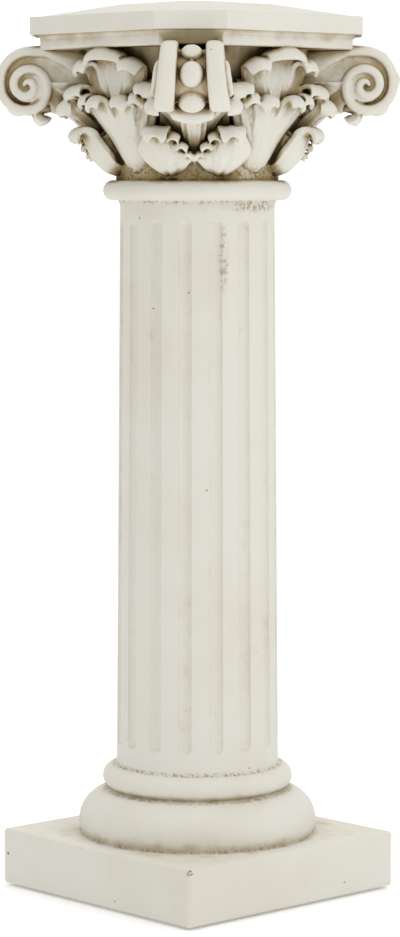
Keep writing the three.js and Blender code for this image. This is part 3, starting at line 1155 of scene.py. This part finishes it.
class Board:
    """The node tree of one material or world."""

    def __init__(self, owner: bpy.types.Material | bpy.types.World) -> None:
        """Empties the owner's node tree.

        Args:
            owner: The material or world whose nodes are built.
        """
        owner.use_nodes = True
        self.tree = owner.node_tree
        self.tree.nodes.clear()

    def node(self, kind: str, settings: dict[str, object] | None = None,
             inputs: dict[str | int, object] | None = None) -> bpy.types.Node:
        """Adds one node.

        Args:
            kind: The node's type.
            settings: The node's own settings.
            inputs: Values, sockets or signals for its inputs, by name or place.

        Returns:
            The node.
        """
        made = self.tree.nodes.new(kind)
        for key, value in (settings or {}).items():
            setattr(made, key, value)
        for key, value in (inputs or {}).items():
            source = value.socket if isinstance(value, Signal) else value
            if isinstance(source, bpy.types.NodeSocket):
                self.tree.links.new(source, made.inputs[key])
            else:
                made.inputs[key].default_value = source
        return made

    def noise(self, place: bpy.types.NodeSocket, kind: Noise) -> Signal:
        """Adds soft noise between 0 and 1.

        Args:
            place: Coordinates to read.
            kind: How coarse and how rough it is.

        Returns:
            The noise.
        """
        inputs = {"Vector": place, "Scale": kind.scale, "Detail": kind.detail, "Roughness": kind.roughness}
        made = self.node("ShaderNodeTexNoise", {"noise_dimensions": "3D"}, inputs)
        return Signal(self, made.outputs["Fac"])

    def mix(self, share: Signal | float, first: object, second: object,
            blend: str = "MIX") -> bpy.types.NodeSocket:
        """Mixes two colours.

        Args:
            share: 0 for the first colour, 1 for the second.
            first: A colour or colour socket.
            second: A colour or colour socket.
            blend: The way of blending.

        Returns:
            The mixed colour.
        """
        made = self.node("ShaderNodeMix", {"data_type": "RGBA", "blend_type": blend},
                         {0: share, 6: first, 7: second})
        return made.outputs[2]

    def grey(self, tone: Signal) -> bpy.types.NodeSocket:
        """Makes a grey colour of one number."""
        return self.node("ShaderNodeCombineColor", inputs={0: tone, 1: tone, 2: tone}).outputs[0]


class Signal:
    """A number that varies over the surface, made from others by plain arithmetic."""

    def __init__(self, board: Board, socket: bpy.types.NodeSocket) -> None:
        """Wraps a socket.

        Args:
            board: The board that the socket is on.
            socket: The socket that carries the number.
        """
        self.board = board
        self.socket = socket

    def math(self, operation: str, *others: Signal | float) -> Signal:
        """Puts this number through one Math node.

        Args:
            operation: The node's operation.
            *others: The further numbers that it takes.

        Returns:
            The result.
        """
        made = self.board.node("ShaderNodeMath", {"operation": operation}, dict(enumerate((self, *others))))
        return Signal(self.board, made.outputs[0])

    def __add__(self, other: Signal | float) -> Signal:
        """Adds."""
        return self.math("ADD", other)

    __radd__ = __add__

    def __mul__(self, other: Signal | float) -> Signal:
        """Multiplies."""
        return self.math("MULTIPLY", other)

    __rmul__ = __mul__

    def __sub__(self, other: Signal | float) -> Signal:
        """Subtracts."""
        return self.math("SUBTRACT", other)

    def __rsub__(self, other: float) -> Signal:
        """Subtracts this number from a constant."""
        return self * -1.0 + other

    def __truediv__(self, other: Signal | float) -> Signal:
        """Divides."""
        return self.math("DIVIDE", other)

    def clamped(self) -> Signal:
        """Keeps the number between 0 and 1."""
        return self.math("MAXIMUM", 0.0).math("MINIMUM", 1.0)

    def ramp(self, low: float, high: float) -> Signal:
        """Rises smoothly from 0 at low to 1 at high; high may be the lower one."""
        share = ((self - low) / (high - low)).clamped()
        return share * share * (3.0 - share * 2.0)


def length(parts: Sequence[Signal]) -> Signal:
    """Length of a vector, from its parts."""
    return sum(part * part for part in parts).math("SQRT")


@dataclass(frozen=True)
class Crease:
    """A ring of settled dirt in the angle between two turned forms."""

    radius: float
    height: float
    reach: float
    strength: float


@dataclass(frozen=True)
class Stain:
    """A round mark at a place on the skin."""

    place: tuple[float, float, float]
    reach: tuple[float, float, float]
    strength: float


@dataclass(frozen=True)
class CastFinish:
    """Off-white cast stone, chalky, with brown grime and painted shade in the hollows of the carving."""

    name: str = "cast_stone_finish"
    pale: tuple[float, float, float, float] = (0.735, 0.715, 0.645, 1)
    warm: tuple[float, float, float, float] = (0.66, 0.625, 0.53, 1)
    ochre: tuple[float, float, float, float] = (0.37, 0.270, 0.105, 1)
    # Near-black brown of grime and pinholes, which also paints the deepest recesses as shade.
    soil_and_shade: tuple[float, float, float, float] = (0.080, 0.048, 0.014, 1)
    roughness: float = 0.78
    patch_roughness: float = 0.14
    film_roughness: float = 0.10
    specular: float = 0.35
    shade_and_dirt: str = "shade_and_dirt"
    cloud_noise: Noise = Noise(9.0, 3.0, 0.5)
    patch_noise: Noise = Noise(55.0, 4.0, 0.6)
    speck_noise: Noise = Noise(260.0, 3.0, 0.65)
    grain_noise: Noise = Noise(900.0, 3.0, 0.6)
    cloud_range: tuple[float, float] = (0.42, 0.72)
    cloud_warmth: float = 0.45
    patch_range: tuple[float, float] = (0.56, 0.78)
    patch_warmth: float = 0.22
    patch_break: float = 0.35
    cloud_break: float = 0.15
    # Occlusion ranges at which the ochre tint and the near-black layer come in; both paint shade as well as
    # grime.
    film_and_shade_range: tuple[float, float] = (0.06, 0.38)
    deep_shade_and_soil_range: tuple[float, float] = (0.34, 0.66)
    ring_speck_range: tuple[float, float] = (0.50, 0.60)
    mark_speck_range: tuple[float, float] = (0.48, 0.58)
    speckled: float = 0.90
    film_and_shade_strength: float = 0.85
    ring_ochre: float = 0.8
    ring_soil: float = 0.40
    mark_soil: float = 0.45
    mark_core: float = 0.3
    pit_scale: float = 60.0
    pit_edge: tuple[float, float] = (0.075, 0.035)
    pit_choice: tuple[float, float] = (0.86, 0.87)
    pit_soil: float = 0.75
    grain_tone: float = 0.10
    patch_relief: float = 0.25
    grain_relief: float = 0.12
    pit_relief: float = 0.8
    relief_strength: float = 0.35
    relief_depth: float = 0.0006
    creases: tuple[Crease, ...] = (
        Crease(0.1195, 0.0593, 0.0045, 0.55),
        Crease(0.0945, 0.1052, 0.0050, 0.65),
        Crease(0.0845, 0.1300, 0.0050, 0.80),
        Crease(0.0800, 0.7045, 0.0050, 0.90),
        Crease(0.0830, 0.7247, 0.0040, 0.90),
        Crease(0.0830, 0.7320, 0.0130, 1.00),
    )
    stains: tuple[Stain, ...] = (
        Stain((0.0725, -0.0317, 0.648), (0.007, 0.007, 0.042), 0.50),
        Stain((0.0745, 0.0080, 0.6985), (0.020, 0.050, 0.007), 0.55),
        Stain((0.1390, -0.1390, 0.0570), (0.005, 0.005, 0.004), 1.40),
        Stain((-0.1340, -0.1417, 0.0340), (0.0022, 0.0022, 0.0022), 1.40),
        Stain((0.1417, 0.0720, 0.0170), (0.0022, 0.0022, 0.0022), 1.40),
    )

    def crease_mask(self, radius: Signal, height: Signal) -> Signal:
        """Adds up the dirt rings of the turned part.

        Args:
            radius: Distance from the axis.
            height: Height above the floor.

        Returns:
            The mask.
        """
        return sum(length((radius - crease.radius, height - crease.height)).ramp(crease.reach, 0.0)
                   * crease.strength for crease in self.creases)

    def stain_mask(self, axes: Sequence[Signal]) -> Signal:
        """Adds up the single marks.

        Args:
            axes: The three coordinates.

        Returns:
            The mask.
        """
        masks = []
        for stain in self.stains:
            offsets = [(axis - middle) / reach
                       for axis, middle, reach in zip(axes, stain.place, stain.reach)]
            masks.append(length(offsets).ramp(1.0, self.mark_core) * stain.strength)
        return sum(masks)

    def colour(self, board: Board, place: bpy.types.NodeSocket, film_and_shade: Signal, dirt_and_shade: Signal,
               clouds: Signal, patches: Signal) -> bpy.types.NodeSocket:
        """Mixes the stone's colour under its dirt.

        Args:
            board: The material's board.
            place: Coordinates to read.
            film_and_shade: The faint ochre tint of grime and painted shade.
            dirt_and_shade: How hemmed in the place is, broken up by noise; high values bring grime and
                painted shade.
            clouds: Broad noise.
            patches: Middling noise.

        Returns:
            The colour, without pinholes.
        """
        body = board.mix(clouds.ramp(*self.cloud_range) * self.cloud_warmth, self.pale, self.warm)
        body = board.mix(patches.ramp(*self.patch_range) * self.patch_warmth, body, self.warm)
        split = board.node("ShaderNodeSeparateXYZ", inputs={0: place})
        axes = [Signal(board, socket) for socket in split.outputs]
        specks = board.noise(place, self.speck_noise)
        ring_specks = specks.ramp(*self.ring_speck_range) * self.speckled + (1 - self.speckled)
        mark_specks = specks.ramp(*self.mark_speck_range) * self.speckled + (1 - self.speckled)
        rings = self.crease_mask(length(axes[:2]), axes[2]) * ring_specks
        marks = self.stain_mask(axes) * mark_specks
        # The ochre tint puts painted shade as well as grime into the hollows; the near-black layer paints
        # the deepest recesses as shade, with grime.
        thin = (film_and_shade * self.film_and_shade_strength + rings * self.ring_ochre + marks).clamped()
        soil_tint_and_deep_shade = (dirt_and_shade.ramp(*self.deep_shade_and_soil_range) + rings * self.ring_soil + marks * self.mark_soil).clamped()
        return board.mix(soil_tint_and_deep_shade, board.mix(thin, body, self.ochre), self.soil_and_shade)

    def pinholes(self, board: Board, place: bpy.types.NodeSocket) -> Signal:
        """Scatters small air holes, in a few of the cells of a cell pattern.

        Args:
            board: The material's board.
            place: Coordinates to read.

        Returns:
            The mask.
        """
        cells = {"Vector": place, "Scale": self.pit_scale}
        pits = board.node("ShaderNodeTexVoronoi", {"feature": "F1"}, cells)
        split = board.node("ShaderNodeSeparateColor", inputs={0: pits.outputs["Color"]})
        chosen = Signal(board, split.outputs[0]).ramp(*self.pit_choice)
        return Signal(board, pits.outputs["Distance"]).ramp(*self.pit_edge) * chosen

    def build(self) -> bpy.types.Material:
        """Builds the material.

        Returns:
            The finished material.
        """
        material = bpy.data.materials.new(self.name)
        board = Board(material)
        place = board.node("ShaderNodeTexCoord").outputs["Object"]
        clouds = board.noise(place, self.cloud_noise)
        patches = board.noise(place, self.patch_noise)
        grain = board.noise(place, self.grain_noise)
        measured = board.node("ShaderNodeAttribute", {"attribute_name": self.shade_and_dirt})
        hemmed = Signal(board, measured.outputs["Fac"])
        # Occlusion broken up by noise: where it is high, the colour gets painted shade as well as grime.
        dirt_and_shade = hemmed + (patches - 0.5) * self.patch_break + (clouds - 0.5) * self.cloud_break
        film_and_shade = dirt_and_shade.ramp(*self.film_and_shade_range)
        pits = self.pinholes(board, place)

        colour = self.colour(board, place, film_and_shade, dirt_and_shade, clouds, patches)
        colour = board.mix((pits * self.pit_soil).clamped(), colour, self.soil_and_shade)
        colour = board.mix(1.0, colour, board.grey((grain - 0.5) * self.grain_tone + 1.0), "MULTIPLY")
        bump = board.node("ShaderNodeBump", inputs={
            "Strength": self.relief_strength,
            "Distance": self.relief_depth,
            "Height": patches * self.patch_relief + grain * self.grain_relief - pits * self.pit_relief,
        })
        uneven = (patches - 0.5) * self.patch_roughness + film_and_shade * self.film_roughness
        surface = board.node("ShaderNodeBsdfPrincipled", inputs={
            "Base Color": colour,
            "Roughness": uneven + self.roughness,
            "Normal": bump.outputs["Normal"],
            "Specular IOR Level": self.specular,
        })
        board.node("ShaderNodeOutputMaterial", inputs={"Surface": surface.outputs[0]})
        return material


@dataclass(frozen=True)
class Lamp:
    """One soft square lamp: its place round the camera's line of sight, its side and its power in watts."""

    name: str
    angle: float
    distance: float
    height: float
    size: float
    power: float


@dataclass
class Studio:
    """Pale floor, white surroundings, soft lamps and the camera."""

    azimuth: float = 47.25
    distance: float = 3.244
    eye_height: float = 0.7285
    aim_height: float = 0.4323
    aim_right: float = 0.0027
    lens: float = 122.9
    far_clip: float = 100
    floor_size: float = 40.0
    floor_tone: float = 0.92
    floor_noise: Noise = Noise(3.0, 2.0, 0.5)
    floor_mottle: float = 0.02
    floor_roughness: float = 0.9
    floor_glow: float = 0.16
    air: tuple[float, float, float, float] = (1, 0.995, 0.985, 1)
    behind: float = 1.15
    around: float = 0.47
    above: float = 0.80
    behind_range: tuple[float, float] = (0.55, 0.85)
    above_range: tuple[float, float] = (0.35, 0.95)
    lamps: tuple[Lamp, ...] = (
        Lamp("key_lamp", 48, 3.0, 2.2, 1.4, 20),
        Lamp("fill_lamp", -55, 3.5, 1.4, 2.0, 5),
    )

    def way(self, angle: float) -> Vector:
        """The level direction at an angle to the right of the camera, as seen from above, in degrees."""
        turn = math.radians(self.azimuth + angle)
        return Vector((math.sin(turn), -math.cos(turn), 0))

    @staticmethod
    def look(name: str, operator: Callable[..., object], eye: Vector, aim: Vector,
             **settings: object) -> bpy.types.Object:
        """Adds a camera or a lamp that looks at a point.

        Args:
            name: The new object's name.
            operator: The operator that adds it.
            eye: Where it stands.
            aim: The point that it looks at.
            **settings: The operator's other settings.

        Returns:
            The new object.
        """
        turn = (aim - eye).to_track_quat("-Z", "Y").to_euler()
        return Bench.add(name, operator, location=eye, rotation=turn, **settings)

    def camera(self) -> None:
        """Places the camera at the photograph's point of view."""
        eye = self.way(0) * self.distance + Vector((0, 0, self.eye_height))
        aim = self.way(90) * self.aim_right + Vector((0, 0, self.aim_height))
        camera = self.look("Camera", bpy.ops.object.camera_add, eye, aim)
        camera.data.lens = self.lens
        camera.data.clip_end = self.far_clip
        bpy.context.scene.camera = camera

    def floor(self) -> None:
        """Lays the pale floor, which glows a little so that it meets the white without a line."""
        floor = Bench.add("studio_floor", bpy.ops.mesh.primitive_plane_add, size=self.floor_size)
        material = bpy.data.materials.new("studio_floor_finish")
        board = Board(material)
        place = board.node("ShaderNodeTexCoord").outputs["Object"]
        tone = board.noise(place, self.floor_noise) * self.floor_mottle + self.floor_tone
        surface = board.node("ShaderNodeBsdfPrincipled", inputs={
            "Base Color": board.grey(tone),
            "Roughness": self.floor_roughness,
            "Specular IOR Level": 0.0,
            "Emission Color": (1, 1, 1, 1),
            "Emission Strength": self.floor_glow,
        })
        board.node("ShaderNodeOutputMaterial", inputs={"Surface": surface.outputs[0]})
        floor.data.materials.append(material)

    def surroundings(self) -> None:
        """Makes the world white behind the object, softer on the camera's side, and brighter overhead."""
        world = bpy.data.worlds.new("studio_world")
        bpy.context.scene.world = world
        board = Board(world)
        ray = board.node("ShaderNodeTexCoord").outputs["Generated"]
        back = tuple(-self.way(0))
        dot = board.node("ShaderNodeVectorMath", {"operation": "DOT_PRODUCT"}, {0: ray, 1: back})
        facing = Signal(board, dot.outputs["Value"])
        upwards = Signal(board, board.node("ShaderNodeSeparateXYZ", inputs={0: ray}).outputs[2])
        strength = facing.ramp(*self.behind_range) * (self.behind - self.around) + self.around
        strength = strength + upwards.ramp(*self.above_range) * self.above
        light = board.node("ShaderNodeBackground", inputs={"Color": self.air, "Strength": strength})
        board.node("ShaderNodeOutputWorld", inputs={"Surface": light.outputs[0]})

    def hang(self, lamp: Lamp) -> None:
        """Hangs one lamp that looks at the object.

        Args:
            lamp: The lamp's place, size and power.
        """
        spot = self.way(lamp.angle) * lamp.distance + Vector((0, 0, lamp.height))
        aim = Vector((0, 0, self.aim_height))
        light = self.look(lamp.name, bpy.ops.object.light_add, spot, aim, type="AREA")
        light.data.size = lamp.size
        light.data.energy = lamp.power

    def build(self) -> None:
        """Sets everything up."""
        self.camera()
        self.floor()
        self.surroundings()
        for lamp in self.lamps:
            self.hang(lamp)
        bpy.context.scene.view_settings.view_transform = "Standard"


def main() -> None:
    """Builds the pedestal, its finish and the studio."""
    logging.basicConfig(level=logging.INFO, format="%(message)s")
    pedestal = Pedestal().build()
    mesh = pedestal.data
    mesh.materials.clear()
    mesh.materials.append(CastFinish().build())
    mesh.calc_loop_triangles()
    LOG.info("%s: %d vertices, %d triangles", pedestal.name, len(mesh.vertices), len(mesh.loop_triangles))
    Studio().build()
    LOG.info("studio and camera are set")


if __name__ == "__main__":
    main()
